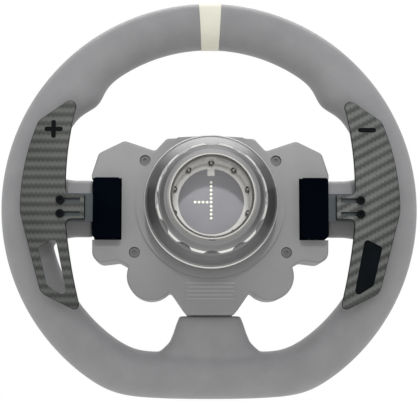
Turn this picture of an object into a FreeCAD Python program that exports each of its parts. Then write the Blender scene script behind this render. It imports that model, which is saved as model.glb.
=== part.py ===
import FreeCAD, Part
import math
import os
import Sketcher
from FreeCAD import Placement, Rotation, Vector

# A sim-racing wheel: a padded flat-bottomed rim on an aluminium armature, a lobed button housing, two
# carbon shift paddles and a quick release.
# Frame: the origin is on the quick release's axis, where the socket's straight bore begins. +Y points out
# of the socket, away from the driver, +Z is up and +X is the driver's right. Lengths are in millimetres.

SIZES = [
    # Rim: the grip's centre line, its section and the pads on its spokes. flat_share is the flat foot's
    # distance from the axis as a share of rim_r; grip_deep_share is the grip's depth as a share of its width.
    ("rim_r", 124.0),
    ("flat_share", 0.90484),
    ("rim_mid", -64.0),
    ("grip_wide", 32.0),
    ("grip_deep_share", 0.875),
    ("thumb_swell", 5.0),
    ("wrap_thick", 1.5),
    ("spoke_high", 38.2),
    ("spoke_z", -1.4),
    ("foot_wide", 37.0),
    ("pad_deep", 20.0),
    ("armature_tube_r", 6.0),
    ("armature_thick", 6.0),
    ("armature_wide", 26.0),
    ("armature_hub_rim", 2.0),
    # Housing: depths along Y and its screws.
    ("cover_rear", -44.0),
    ("cover_wall", 3.0),
    ("cover_cavity", 0.93),
    ("boss_wide", 21.8),
    ("boss_high", 2.0),
    ("boss_hole_gap", 4.0),
    ("housing_deep", 11.0),
    ("faceplate_thick", 2.0),
    ("faceplate_inset", 0.985),
    ("cover_round", 1.6),
    ("screw_head_r", 3.3),
    ("screw_shank_r", 1.5),
    ("screw_gap", 0.3),
    ("upper_screw_x", 43.3),
    ("upper_screw_z", 28.9),
    ("lower_screw_x", 50.0),
    ("lower_screw_z", -32.0),
    ("drive_floor", 0.4),
    ("bar_top_z", -51.5),
    ("bar_half_long", 16.0),
    ("bar_wide", 1.0),
    ("bar_pitch", 2.6),
    ("bar_high", 0.25),
    # Quick release: radii of the socket's tube and of the sliding collar, and their stations along Y.
    ("socket_r", 25.0),
    ("socket_long", 22.0),
    ("ball_zone_long", 8.0),
    ("socket_floor", -32.0),
    ("tube_wall", 2.2),
    ("mouth_long", 2.5),
    ("mouth_wide", 1.4),
    ("hub_flange_wide", 13.8),
    ("hub_flange_thick", 6.0),
    ("wire_hole_r", 6.0),
    ("slide_gap", 0.05),
    ("collar_rear", -1.6),
    ("collar_front", -34.0),
    ("collar_end_wide", 1.0),
    ("collar_ridge_wide", 8.3),
    ("collar_flange_wide", 16.3),
    ("collar_ridge_y", -13.0),
    ("collar_flange_y", -27.0),
    ("spring_room_wide", 4.5),
    ("flute_r", 10.0),
    ("flute_deep", 2.0),
    ("collar_travel", 6.0),
    ("ball_r", 2.0),
    ("ring_thick", 1.2),
    ("ring_wide", 0.9),
    ("contact_gap", 3.7),
    ("contact_thick", 2.0),
    ("pin_r", 0.9),
    ("hub_screw_out", 7.8),
    ("hub_screw_r", 2.5),
    ("zone_step", 0.5),
    ("chamfer", 1.2),
    ("bright_bevel", 2.2),
    ("waist_step", 2.5),
    ("waist_y", -7.0),
    ("ridge_long", 3.0),
    ("collar_foot", 1.0),
    ("spring_room_long", 12.0),
    ("ring_gap_half", 2.0),
    ("key_half_wide", 2.4),
    ("key_deep", 4.5),
    ("pin_pitch", 2.6),
    ("pin_top_z", 12.5),
    ("pin_high", 0.8),
    # Shifters: the block, the lever in it and the blade's slots.
    ("block_in_x", 59.1),
    ("block_out_x", 77.0),
    ("block_high", 39.6),
    ("block_z", -3.4),
    ("block_rear", -35.0),
    ("block_wall", 2.0),
    ("block_gap", 0.6),
    ("pivot_x", 64.5),
    ("pivot_y", -43.0),
    ("pivot_r", 1.5),
    ("knuckle_r", 3.6),
    ("lever_thick", 4.0),
    ("lever_wide", 18.3),
    ("lever_out_x", 103.5),
    ("lever_swing_room", 2.2),
    ("blade_thick", 2.5),
    ("magnet_r", 3.0),
    ("magnet_thick", 2.0),
    ("magnet_x", 71.0),
    ("slot_wide", 3.0),
    ("slot_in_x", 85.5),
    ("slot_out_x", 100.2),
    ("slot_upper_z", 1.9),
    ("slot_lower_z", -7.1),
    ("blade_screw_x", 98.6),
    ("blade_screw_head_r", 2.8),
    ("blade_screw_head_high", 1.7),
    ("mark_x", 103.4),
    ("mark_z", 48.8),
    ("mark_long", 12.0),
    ("mark_wide", 3.1),
    ("mark_deep", 0.8),
    ("blade_edge_round", 0.8),
    ("switch_half_wide", 3.2),
    ("switch_half_high", 6.4),
    # Controls on the driver's side.
    ("board_y", -69.5),
    ("board_thick", 1.6),
    ("button_r", 5.5),
    ("button_high", 6.0),
    ("button_lip", 1.2),
    ("button_travel", 1.2),
    ("button_edge_share", 0.2),
    ("control_gap", 0.3),
    ("bezel_wide", 1.8),
    ("bezel_high", 1.0),
    ("knob_r", 11.0),
    ("knob_high", 13.0),
    ("knob_x", 39.6),
    ("knob_z", -46.6),
    ("shaft_r", 3.0),
    ("knob_flute_r", 0.7),
    ("knob_skirt", 1.5),
    ("pointer_half_wide", 0.6),
    ("bush_r", 4.6),
    ("stick_x", 44.0),
    ("stick_z", 10.0),
    ("dome_r", 8.0),
    ("stick_r", 2.5),
    ("stick_long", 10.0),
    ("thumb_cap_r", 7.5),
    ("thumb_cap_high", 3.0),
    ("cap_r", 20.0),
    ("cap_high", 3.0),
    ("cap_bevel", 2.0),
    ("lens_wide", 52.0),
    ("lens_high", 5.0),
    ("lens_z", 37.0),
]

# Corners of the outlines, seen along Y on the +X side: X, Z, the radius of the corner, and the radius of
# the edge that leads on from it, where that edge is an arc. A positive arc bulges to the left of the way.
CORNERS = {
    "cover": [
        (0.0, 45.3, 0.0, 0.0),
        (29.0, 43.7, 4.0, 0.0),
        (36.6, 35.4, 3.0, 0.0),
        (56.8, 42.2, 5.0, 0.0),
        (73.9, 33.8, 5.0, 0.0),
        (78.4, 19.6, 4.0, 0.0),
        (77.6, -39.6, 7.0, 0.0),
        (60.5, -37.4, 4.0, 0.0),
        (53.6, -41.2, 2.0, 15.9),
        (26.4, -57.2, 2.0, 0.0),
        (17.8, -69.7, 3.0, 0.0),
        (15.0, -73.0, 1.5, 0.0),
    ],
    "blade": [
        (85.9, 73.6, 4.0, 0.0),
        (113.4, 54.6, 8.0, 150.0),
        (124.8, -6.0, 20.0, 0.0),
        (110.6, -59.0, 9.0, 0.0),
        (83.7, -72.3, 3.2, -340.0),
        (94.9, -10.6, 3.5, 0.0),
        (82.4, -10.6, 1.0, 0.0),
        (82.4, 5.4, 1.0, 0.0),
        (94.9, 5.4, 4.5, -210.0),
    ],
    "window": [
        (112.6, -28.9, 2.2, 0.0),
        (106.4, -54.0, 4.0, 0.0),
        (93.2, -62.2, 2.4, 0.0),
        (101.2, -23.0, 2.4, 0.0),
    ],
}

BUTTON_PLACES = [(57.0, 31.5), (68.5, 17.0), (68.5, -1.0), (66.0, -20.0)]
SIDES = {"right": 1, "left": -1}
RING_STEPS = 36
MARK_HALF_ANGLE = 3.15
THUMB_ANGLE = 47.5
THUMB_SPREAD = 6.0
SOFTNESS = 40.0
HUB_SCREWS = 6
BALLS = 10
FLUTES = 12
KNOB_FLUTES = 24
SPRING_COILS = 3
MARK_STEPS = 4
LABEL_BARS = 5
# The contact pins: how many stand in the line, the row that the branch leaves from, and its length.
PIN_LINE = 10
BRANCH_ROW = 5
PIN_BRANCH = 4
# Shares of the size named beside each where it is used.
BOARD_SHARE = 0.97
DOME_INNER = 0.84
GIMBAL_OUTER = 0.68
GIMBAL_INNER = 0.52
CAN_SHARE = 0.9
DISH_SHARE = 0.4
RING_SEAT = 0.7
CAP_HEAD = 1.8
NUB_SHARE = 0.6
MARK_ROUND = 0.95
DRIVE_SHARE = 0.8
# Share of the way from the housing to the grip's inner edge, and height there as a share of the spoke's.
SPOKE_FLARE = [(0.0, 1.0), (0.4, 1.0), (0.62, 1.05), (0.82, 1.2), (1.0, 1.44), (1.22, 1.75)]
FOOT_FLARE = [(0.0, 1.0), (0.25, 1.14), (0.5, 1.28), (0.75, 1.45), (0.95, 1.7), (1.1, 1.95), (1.3, 2.25)]

# A rise or angle smaller than this counts as none, and a place nearer than NEAR as the same place.
TINY = 1e-9
NEAR = 1e-4
CORNER_NEAR = 1e-2

doc = FreeCAD.newDocument("RacingWheel")
sheet = doc.addObject("Spreadsheet::Sheet", "Sizes")


class Size:
    """A length that keeps its value together with the sheet formula that gives it."""

    def __init__(self, value, formula):
        self.value = value
        self.formula = formula

    def combine(self, sign, other, value):
        return Size(value, f"({self.formula} {sign} {other.formula})")

    def __add__(self, other):
        other = as_size(other)
        return self.combine("+", other, self.value + other.value)

    def __sub__(self, other):
        other = as_size(other)
        return self.combine("-", other, self.value - other.value)

    def __mul__(self, other):
        other = as_size(other)
        return self.combine("*", other, self.value * other.value)

    def __truediv__(self, other):
        other = as_size(other)
        return self.combine("/", other, self.value / other.value)

    def __pow__(self, power):
        return Size(self.value**power, f"(({self.formula}) ^ ({power}))")

    def __neg__(self):
        return self * -1.0

    def __radd__(self, other):
        return as_size(other) + self

    def __rsub__(self, other):
        return as_size(other) - self

    def __rmul__(self, other):
        return as_size(other) * self


def as_size(value):
    return value if isinstance(value, Size) else Size(float(value), f"({float(value):.9f})")


def write_sizes():
    """Puts every driving size in the sheet and returns them by alias."""
    rows = list(SIZES)
    for outline, corners in CORNERS.items():
        for number, corner in enumerate(corners):
            for label, value in zip(("x", "z", "round", "bend"), corner):
                rows.append((f"{outline}_{label}_{number}", value))
    for row, (alias, value) in enumerate(rows, 1):
        sheet.set(f"A{row}", alias)
        sheet.set(f"B{row}", str(value))
        sheet.setAlias(f"B{row}", alias)
    doc.recompute()
    return {alias: Size(float(sheet.get(alias)), f"Sizes.{alias}") for alias, _ in rows}


S = write_sizes()
FLAT_DROP = S["rim_r"] * S["flat_share"]
GRIP_DEEP = S["grip_wide"] * S["grip_deep_share"]
ARMATURE_FRONT = S["rim_mid"] - S["armature_thick"] / 2
ARMATURE_REAR = S["rim_mid"] + S["armature_thick"] / 2
FACE_REAR = ARMATURE_FRONT - S["housing_deep"]
FACE = FACE_REAR - S["faceplate_thick"]
BOARD_FRONT = S["board_y"] - S["board_thick"]
TUBE_R = S["socket_r"] + S["tube_wall"]
HUB_FLANGE_R = TUBE_R + S["hub_flange_wide"]
ARMATURE_HUB_R = HUB_FLANGE_R + S["armature_hub_rim"]
COLLAR_RIDGE_R = TUBE_R + S["collar_ridge_wide"]
COLLAR_FLANGE_R = TUBE_R + S["collar_flange_wide"]
SPRING_ROOM_R = TUBE_R + S["spring_room_wide"]
CONTACT_R = S["socket_r"] - S["contact_gap"]
HUB_FLANGE_REAR = ARMATURE_REAR + S["hub_flange_thick"]
BALL_STATION = -S["socket_long"] - S["ball_zone_long"] / 2
LEVER_FRONT = S["pivot_y"] - S["lever_thick"] / 2
LEVER_REAR = LEVER_FRONT + S["lever_thick"]


def corners_of(outline, side=1, scale=1.0):
    """An outline's corners as sizes, mirrored to the -X side where side is -1."""
    found = []
    for number in range(len(CORNERS[outline])):
        x, z, rounding, bend = (S[f"{outline}_{label}_{number}"] for label in ("x", "z", "round", "bend"))
        found.append((x * scale * side, z * scale, rounding * scale, bend * scale * side))
    return found


def whole_cover(scale=1.0):
    """The cover's outline all the way round: the right half from the top, then its mirror image."""
    half = corners_of("cover", 1, scale)
    mirrored = []
    for number in range(len(half) - 1, 0, -1):
        x, z, rounding, _ = half[number]
        mirrored.append((-x, z, rounding, half[number - 1][3]))
    return half + mirrored


def bind(thing, name, value):
    thing.setExpression(name, as_size(value).formula)


def put(thing, x=0.0, y=0.0, z=0.0):
    """Places an object, with its place bound to the sheet."""
    for letter, value in zip("xyz", (x, y, z)):
        bind(thing, f"Placement.Base.{letter}", value)
    return thing


def plane(body, role):
    return [feature for feature in body.Origin.OriginFeatures if feature.Role == role][0]


def add_edge(sketch, start, end, bend):
    """Adds one straight or round edge and returns which of its ends is its start."""
    first = Vector(start[0].value, start[1].value, 0)
    last = Vector(end[0].value, end[1].value, 0)
    if abs(bend.value) < TINY:
        sketch.addGeometry(Part.LineSegment(first, last), False)
        return 1
    chord = last - first
    left = Vector(-chord.y, chord.x, 0).normalize()
    bulge = math.copysign(1.0, bend.value)
    rise = math.sqrt(bend.value**2 - (chord.Length / 2) ** 2)
    centre = (first + last) / 2 - left * rise * bulge
    angles = [math.atan2(p.y - centre.y, p.x - centre.x) for p in (first, last)]
    if bulge > 0:
        angles.reverse()
    circle = Part.Circle(centre, Vector(0, 0, 1), abs(bend.value))
    sketch.addGeometry(Part.ArcOfCircle(circle, *angles), False)
    return 2 if bulge > 0 else 1


def draw(body, role, offset, corners):
    """A sketch of a closed outline on one of the body's planes, every corner bound to the sheet."""
    sketch = body.newObject("Sketcher::SketchObject", body.Name + "Sketch")
    sketch.AttachmentSupport = (plane(body, role), [""])
    sketch.MapMode = "FlatFace"
    bind(sketch, "AttachmentOffset.Base.z", offset)
    count = len(corners)
    starts = []
    for number, (x, z, _, bend) in enumerate(corners):
        end = corners[(number + 1) % count]
        starts.append(add_edge(sketch, (x, z), (end[0], end[1]), bend))
    for number in range(count):
        after = (number + 1) % count
        sketch.addConstraint(
            Sketcher.Constraint("Coincident", number, 3 - starts[number], after, starts[after])
        )
    for number, (x, z, _, bend) in enumerate(corners):
        for kind, value in (("DistanceX", x), ("DistanceY", z)):
            index = sketch.addConstraint(
                Sketcher.Constraint(kind, -1, 1, number, starts[number], value.value)
            )
            bind(sketch, f"Constraints[{index}]", value)
        if abs(bend.value) > TINY:
            index = sketch.addConstraint(Sketcher.Constraint("Radius", number, abs(bend.value)))
            bind(sketch, f"Constraints[{index}]", bend * math.copysign(1.0, bend.value))
    return sketch


def flat_corners(points, rounding=0.0):
    return [(as_size(x), as_size(z), as_size(rounding), as_size(0)) for x, z in points]


def round_corners(body, corners):
    """Rounds the edges along Y that stand at the outline's corners, one fillet for each radius."""
    radii = {}
    for x, z, rounding, _ in corners:
        if rounding.value > 0:
            radii.setdefault(rounding.formula, (rounding, []))[1].append((x.value, z.value))
    for rounding, places in radii.values():
        doc.recompute()
        names = []
        for number, edge in enumerate(body.Shape.Edges, 1):
            low, high = edge.Vertexes[0].Point, edge.Vertexes[-1].Point
            upright = abs(low.x - high.x) + abs(low.z - high.z) < NEAR and abs(low.y - high.y) > NEAR
            if upright and any(math.hypot(low.x - x, low.z - z) < CORNER_NEAR for x, z in places):
                names.append(f"Edge{number}")
        solid = body.Tip
        fillet = body.newObject("PartDesign::Fillet", body.Name + "Round")
        fillet.Base = (solid, names)
        bind(fillet, "Radius", rounding)
        body.Tip = fillet


def plate(name, corners, rear, front):
    """A flat piece with the given outline, between two stations along Y, its rear one the larger."""
    body = doc.addObject("PartDesign::Body", name)
    sketch = draw(body, "XZ_Plane", -as_size(rear), corners)
    pad = body.newObject("PartDesign::Pad", name + "Pad")
    pad.Profile = sketch
    bind(pad, "Length", as_size(rear) - front)
    sketch.Visibility = False
    body.Tip = pad
    round_corners(body, corners)
    doc.recompute()
    return body


def soften_face(body, station, radius):
    """Rounds the rim of the body's face that lies at one station along Y."""
    doc.recompute()
    names = []
    for number, edge in enumerate(body.Shape.Edges, 1):
        box = edge.BoundBox
        if abs(box.YMin - station.value) < NEAR and abs(box.YMax - station.value) < NEAR:
            names.append(f"Edge{number}")
    solid = body.Tip
    fillet = body.newObject("PartDesign::Fillet", body.Name + "Soft")
    fillet.Base = (solid, names)
    bind(fillet, "Radius", radius)
    body.Tip = fillet
    doc.recompute()
    return body


def turned(name, profile):
    """A round piece turned about the Y axis from its profile of radius and Y pairs."""
    body = doc.addObject("PartDesign::Body", name)
    sketch = draw(body, "XY_Plane", 0, flat_corners(profile))
    turn = body.newObject("PartDesign::Revolution", name + "Turn")
    turn.Profile = sketch
    turn.ReferenceAxis = (sketch, ["V_Axis"])
    turn.Angle = 360
    sketch.Visibility = False
    body.Tip = turn
    doc.recompute()
    return body


def rod(name, radius, x, z, rear, front):
    """A cylinder along Y."""
    made = doc.addObject("Part::Cylinder", name)
    made.Placement = Placement(Vector(), Rotation(Vector(1, 0, 0), -90))
    bind(made, "Radius", radius)
    bind(made, "Height", as_size(rear) - front)
    return put(made, x, front, z)


def upright_rod(name, radius, x, y, low, high):
    """A cylinder along Z."""
    made = doc.addObject("Part::Cylinder", name)
    bind(made, "Radius", radius)
    bind(made, "Height", as_size(high) - low)
    return put(made, x, y, low)


def block(name, x_pair, y_pair, z_pair):
    """A box between two places on each axis, each pair given smaller first."""
    made = doc.addObject("Part::Box", name)
    for size_name, (low, high) in zip(("Length", "Width", "Height"), (x_pair, y_pair, z_pair)):
        bind(made, size_name, as_size(high) - low)
    return put(made, x_pair[0], y_pair[0], z_pair[0])


def sided(low, high, side):
    """Two distances from the middle plane as a pair along X on the chosen side."""
    pair = (as_size(low) * side, as_size(high) * side)
    return pair if side > 0 else (pair[1], pair[0])


def joined(name, pieces):
    made = doc.addObject("Part::MultiFuse", name)
    made.Shapes = pieces
    return made


def grouped(name, pieces):
    made = doc.addObject("Part::Compound", name)
    made.Links = pieces
    return made


def without(name, base, tools):
    made = doc.addObject("Part::Cut", name)
    made.Base = base
    made.Tool = tools[0] if len(tools) == 1 else joined(name + "Tools", tools)
    return made


def soft_least(first, second):
    """The smaller of two lengths, with a smooth turn where they cross."""
    return first * (1.0 + (first / second) ** SOFTNESS) ** (-1.0 / SOFTNESS)


def turn_at(angle):
    """Sine and cosine of an angle in degrees, clockwise from the top towards +X."""
    return math.sin(math.radians(angle)), math.cos(math.radians(angle))


def centre_line(angle):
    """Distance of the grip's centre line from the axis: a circle with a flat stretch at the bottom."""
    _, up = turn_at(angle)
    if up > -0.5:
        return S["rim_r"]
    return soft_least(S["rim_r"], FLAT_DROP / -up)


def ellipse(name, across, deep, outward):
    """An ellipse of two half sizes, one along a direction in the wheel's plane and one along Y."""
    made = doc.addObject("Part::Ellipse", name)
    depth = Vector(0, 1, 0)
    first, second = (outward, depth) if across.value >= deep.value else (depth, outward)
    long_half, short_half = (across, deep) if across.value >= deep.value else (deep, across)
    made.Placement = Placement(Vector(), Rotation(first, second, first.cross(second), "XYZ"))
    bind(made, "MajorRadius", long_half)
    bind(made, "MinorRadius", short_half)
    return made


def ring_section(name, angle, section):
    """One elliptical section of the ring; section gives its radial and Y half sizes and its centre."""
    across, deep, centre = section(angle)
    side, up = turn_at(angle)
    made = ellipse(name, across, deep, Vector(side, 0, up))
    return put(made, centre * side, S["rim_mid"], centre * up)


def loft(name, sections):
    made = doc.addObject("Part::Loft", name)
    made.Sections = sections
    made.Solid = True
    made.Ruled = False
    return made


def ring_stretch(name, first, last, steps, section):
    """A length of the ring between two angles."""
    angles = [first + (last - first) * step / steps for step in range(steps + 1)]
    return loft(name, [ring_section(f"{name}At{n}", angle, section) for n, angle in enumerate(angles)])


def grip_section(shrink):
    """Half sizes of the grip, less a skin's thickness, swollen inward where the thumbs rest."""

    def section(angle):
        swell = S["thumb_swell"] * math.exp(-(((abs(angle) - THUMB_ANGLE) / THUMB_SPREAD) ** 2)) / 2
        across = S["grip_wide"] / 2 + swell - shrink
        return across, GRIP_DEEP / 2 - shrink, centre_line(angle) - swell

    return section


def tube_section(angle):
    return S["armature_tube_r"], S["armature_tube_r"], centre_line(angle)


def half_rings(name, start, section):
    """The ring's two halves, each from a little beside the top to the bottom."""
    return [
        ring_stretch(f"{name}{key}", start * side, 180.0 * side, RING_STEPS, section)
        for key, side in SIDES.items()
    ]


def pad_section(name, along, half, deep, outward):
    """A spoke pad's elliptical section across an outward direction; the side pads sit a little low."""
    made = ellipse(name, half, deep, Vector(-outward.z, 0, outward.x))
    up = along * outward.z + S["spoke_z"] * abs(outward.x)
    return put(made, along * outward.x, S["rim_mid"], up)


def spoke_pad(name, outward, span, full, flare, shrink):
    """A padded spoke that widens as it runs into the ring."""
    start, end = span
    sections = []
    for number, (share, widening) in enumerate(flare):
        along = start + (end - start) * share
        half = full * widening / 2 - shrink
        sections.append(pad_section(f"{name}At{number}", along, half, S["pad_deep"] / 2 - shrink, outward))
    return loft(name, sections)


def spoke_pads(name, shrink):
    """The two side pads and the foot."""
    half_grip = S["grip_wide"] / 2
    side_span = (S["cover_x_5"] + S["screw_gap"], S["rim_r"] - half_grip)
    foot_span = (-S["cover_z_11"] + S["screw_gap"], FLAT_DROP - half_grip)
    pads = [
        spoke_pad(f"{name}{key}", Vector(side, 0, 0), side_span, S["spoke_high"], SPOKE_FLARE, shrink)
        for key, side in SIDES.items()
    ]
    pads.append(spoke_pad(name + "Foot", Vector(0, 0, -1), foot_span, S["foot_wide"], FOOT_FLARE, shrink))
    return pads


def make_armature():
    """The aluminium ring, its three flat spokes and the hub plate, with its tapped holes."""
    half = S["armature_wide"] / 2
    pieces = half_rings("ArmatureRing", 0.0, tube_section)
    pieces.append(rod("ArmatureHub", ARMATURE_HUB_R, 0, 0, ARMATURE_REAR, ARMATURE_FRONT))
    depth = (ARMATURE_FRONT, ARMATURE_REAR)
    for key, side in SIDES.items():
        reach = sided(ARMATURE_HUB_R / 2, S["rim_r"], side)
        pieces.append(block(f"ArmatureSpoke{key}", reach, depth, (-half, half)))
    pieces.append(block("ArmatureFoot", (-half, half), depth, (-FLAT_DROP, -ARMATURE_HUB_R / 2)))
    holes = screw_circle("ArmatureHole", S["hub_screw_r"], ARMATURE_REAR, ARMATURE_FRONT)
    holes.append(rod("ArmatureWireHole", S["wire_hole_r"], 0, 0, ARMATURE_REAR, ARMATURE_FRONT))
    return without("rim_armature", joined("ArmatureWhole", pieces), holes)


def screw_circle(name, radius, rear, front):
    """Rods on the hub screws' circle."""
    rods = []
    out = TUBE_R + S["hub_screw_out"]
    for number in range(HUB_SCREWS):
        side, up = turn_at(360.0 / HUB_SCREWS * (number + 0.5))
        rods.append(rod(f"{name}{number}", radius, out * side, out * up, rear, front))
    return rods


def make_grip(armature):
    """The foam round the armature, the wrap over it and the cream band at the top."""
    foam_pieces = half_rings("Foam", 0.0, grip_section(S["wrap_thick"]))
    foam_body = joined("FoamBody", foam_pieces + spoke_pads("FoamPad", S["wrap_thick"]))
    foam = without("rim_foam", foam_body, [armature])
    skin_pieces = half_rings("Skin", MARK_HALF_ANGLE, grip_section(0.0))
    wrap = without("rim_wrap", joined("SkinBody", skin_pieces + spoke_pads("SkinPad", 0.0)), [foam_body])
    band = ring_stretch("MarkBody", -MARK_HALF_ANGLE, MARK_HALF_ANGLE, MARK_STEPS, grip_section(0.0))
    mark = without("centre_mark", band, [foam_body])
    return [foam, wrap, mark]


def screw_places():
    """The housing's four screw places as X and Z."""
    places = []
    for side in SIDES.values():
        places.append((S["upper_screw_x"] * side, S["upper_screw_z"]))
        places.append((S["lower_screw_x"] * side, S["lower_screw_z"]))
    return places


def screw_rods(name, radius, rear, front):
    """A rod at each of the housing's screw places."""
    return [rod(f"{name}{number}", radius, x, z, rear, front) for number, (x, z) in enumerate(screw_places())]


def block_span(spare):
    """A shifter block's lower and upper ends along Z, with some to spare at each."""
    half = S["block_high"] / 2 + spare
    return S["block_z"] - half, S["block_z"] + half


def shifter_opening(name, side, rear, front):
    """The room round a shifter block, open to the housing's side."""
    reach = sided(S["block_in_x"] - S["block_gap"], S["cover_x_5"] + S["boss_high"], side)
    return block(name, reach, (front, rear), block_span(S["block_gap"]))


def cover_boss(top):
    """The round boss that surrounds the quick release, kept inside the cover's outline."""
    boss = rod("CoverBoss", TUBE_R + S["boss_wide"], 0, 0, top, S["cover_rear"] - S["cover_wall"])
    limit = plate("CoverBossLimit", whole_cover(), top, ARMATURE_FRONT)
    kept = doc.addObject("Part::Common", "CoverBossKept")
    kept.Base = boss
    kept.Tool = limit
    return kept


def cover_foot_slot():
    """The way out for the armature's foot."""
    half = S["armature_wide"] / 2 + S["screw_gap"]
    down = (S["cover_z_11"] - S["boss_high"], S["cover_z_11"] / 2)
    return block("CoverFootSlot", (-half, half), (ARMATURE_FRONT, ARMATURE_REAR + S["screw_gap"]), down)


def make_rear_cover():
    """The lobed rear shell, with its round boss, screw wells and shifter openings."""
    top = S["cover_rear"] + S["boss_high"]
    roof = S["cover_rear"] - S["cover_wall"]
    shell = plate("CoverShell", whole_cover(), S["cover_rear"], ARMATURE_FRONT)
    soften_face(shell, S["cover_rear"], S["cover_round"])
    cavity = plate("CoverCavity", whole_cover(S["cover_cavity"]), roof, ARMATURE_FRONT)
    posts = screw_rods("CoverPost", S["screw_head_r"] + S["cover_wall"] / 2, roof, ARMATURE_FRONT)
    tools = [without("CoverHollow", cavity, posts)]
    tools.append(rod("CoverTubeHole", TUBE_R + S["boss_hole_gap"], 0, 0, top, roof - S["cover_wall"]))
    hub_room = ARMATURE_HUB_R + S["control_gap"]
    tools.append(rod("CoverHubRoom", hub_room, 0, 0, HUB_FLANGE_REAR + S["control_gap"], ARMATURE_FRONT))
    tools += screw_rods("CoverWell", S["screw_head_r"] + S["screw_gap"], top, roof)
    tools += screw_rods("CoverHole", S["screw_shank_r"], S["cover_rear"], ARMATURE_FRONT)
    for key, side in SIDES.items():
        tools.append(shifter_opening(f"CoverOpening{key}", side, top, ARMATURE_FRONT))
    tools.append(cover_foot_slot())
    return without("rear_cover", joined("CoverBody", [shell, cover_boss(top)]), tools)


def make_serial_bars():
    """Plain raised bars where such a housing carries its rating label."""
    bars = []
    depth = (S["cover_rear"], S["cover_rear"] + S["bar_high"])
    for number in range(LABEL_BARS):
        half = S["bar_half_long"] - S["bar_wide"] * (number % 2)
        top = S["bar_top_z"] - S["bar_pitch"] * number
        bars.append(block(f"SerialBar{number}", (-half, half), depth, (top - S["bar_wide"], top)))
    return grouped("serial_bars", bars)


def rear_screws():
    """Screws sunk in the rear cover's wells."""
    seat = S["cover_rear"] - S["cover_wall"]
    top = seat + S["cover_wall"] / 2
    heads = screw_rods("RearHead", S["screw_head_r"], top, seat)
    shanks = screw_rods("RearShank", S["screw_shank_r"], seat, ARMATURE_FRONT)
    drives = screw_rods("RearDrive", S["screw_shank_r"], top, seat + S["drive_floor"])
    screws = []
    for number, (head, shank, drive) in enumerate(zip(heads, shanks, drives)):
        screws.append(without(f"RearScrew{number}", joined(f"RearWhole{number}", [head, shank]), [drive]))
    return grouped("rear_cover_screws", screws)


def face_screws():
    """Screws through the faceplate into the front housing's posts."""
    outer = FACE - S["bezel_high"]
    heads = screw_rods("FrontHead", S["blade_screw_head_r"], FACE, outer)
    shanks = screw_rods("FrontShank", S["screw_shank_r"], FACE + S["faceplate_thick"] * 3, FACE)
    drives = screw_rods("FrontDrive", S["screw_shank_r"], FACE, outer)
    screws = []
    for number, (head, shank, drive) in enumerate(zip(heads, shanks, drives)):
        cap = without(f"FrontHeadCut{number}", head, [drive])
        screws.append(joined(f"FrontScrew{number}", [cap, shank]))
    return grouped("faceplate_screws", screws)


def button_places():
    """Every push button's name, X and Z."""
    places = []
    for key, side in SIDES.items():
        for number, (x, z) in enumerate(BUTTON_PLACES, 1):
            places.append((f"button_{key}_{number}", x * side, z))
    return places


def face_holes():
    """Clear holes through the faceplate for the buttons, knobs and sticks."""
    holes = []
    for name, x, z in button_places():
        holes.append(rod(f"Face{name}", S["button_r"] + S["control_gap"], x, z, FACE_REAR, FACE))
    for key, side in SIDES.items():
        x = S["knob_x"] * side
        holes.append(rod(f"FaceKnob{key}", S["bush_r"], x, S["knob_z"], FACE_REAR, FACE))
        dome = S["dome_r"] + S["control_gap"]
        holes.append(rod(f"FaceStick{key}", dome, S["stick_x"] * side, S["stick_z"], FACE_REAR, FACE))
    return holes


def make_front_housing():
    """The driver-side shell: a wall round the controls, room for each button's lip, and posts."""
    roof = ARMATURE_FRONT - S["cover_wall"] / 2
    shell = plate("FrontShell", whole_cover(), ARMATURE_FRONT, FACE_REAR)
    tools = [plate("FrontCavity", whole_cover(S["cover_cavity"]), roof, FACE_REAR)]
    tools.append(rod("FrontWireHole", S["wire_hole_r"], 0, 0, ARMATURE_FRONT, FACE_REAR))
    room = S["button_r"] + S["button_lip"] + S["control_gap"]
    for name, x, z in button_places():
        tools.append(rod(f"FrontRoom{name}", room, x, z, roof, FACE_REAR))
    posts = screw_rods("FrontPost", S["screw_head_r"], ARMATURE_FRONT, FACE_REAR)
    deep = FACE_REAR + S["faceplate_thick"] * 2
    holes = screw_rods("FrontPostHole", S["screw_shank_r"], deep, FACE_REAR)
    body = joined("FrontBody", [without("FrontHollow", shell, tools)] + posts)
    return without("front_housing", body, holes)


def lens_span():
    """The light bar's reach along X and Z."""
    half_wide, half_high = S["lens_wide"] / 2, S["lens_high"] / 2
    return (-half_wide, half_wide), (S["lens_z"] - half_high, S["lens_z"] + half_high)


def make_faceplate():
    """The driver's plate with its control holes and the slot for the light bar."""
    body = plate("FaceBlank", whole_cover(S["faceplate_inset"]), FACE_REAR, FACE)
    soften_face(body, FACE, S["faceplate_thick"] / 4)
    lens_x, lens_z = lens_span()
    holes = face_holes() + screw_rods("FaceScrewHole", S["screw_shank_r"], FACE_REAR, FACE)
    holes.append(block("FaceLensSlot", lens_x, (FACE, FACE_REAR), lens_z))
    return without("faceplate", body, holes)


def make_light_bar():
    """The smoked lens, a little proud of the faceplate, and the strip of lights behind it."""
    lens_x, lens_z = lens_span()
    lens = block("lens_bar", lens_x, (FACE - S["bar_high"] * 2, FACE_REAR), lens_z)
    back = FACE_REAR + S["bar_high"] * 2
    leds = block("led_board", lens_x, (back, back + S["bar_wide"]), lens_z)
    return [lens, leds]


def make_control_board():
    """The circuit board, cut clear of the housing's posts and the wires."""
    blank = plate("BoardBlank", whole_cover(S["cover_cavity"] * BOARD_SHARE), S["board_y"], BOARD_FRONT)
    tools = screw_rods("BoardPost", S["screw_head_r"] + S["control_gap"], S["board_y"], BOARD_FRONT)
    tools.append(rod("BoardWire", S["wire_hole_r"], 0, 0, S["board_y"], BOARD_FRONT))
    return without("control_board", blank, tools)


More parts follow.
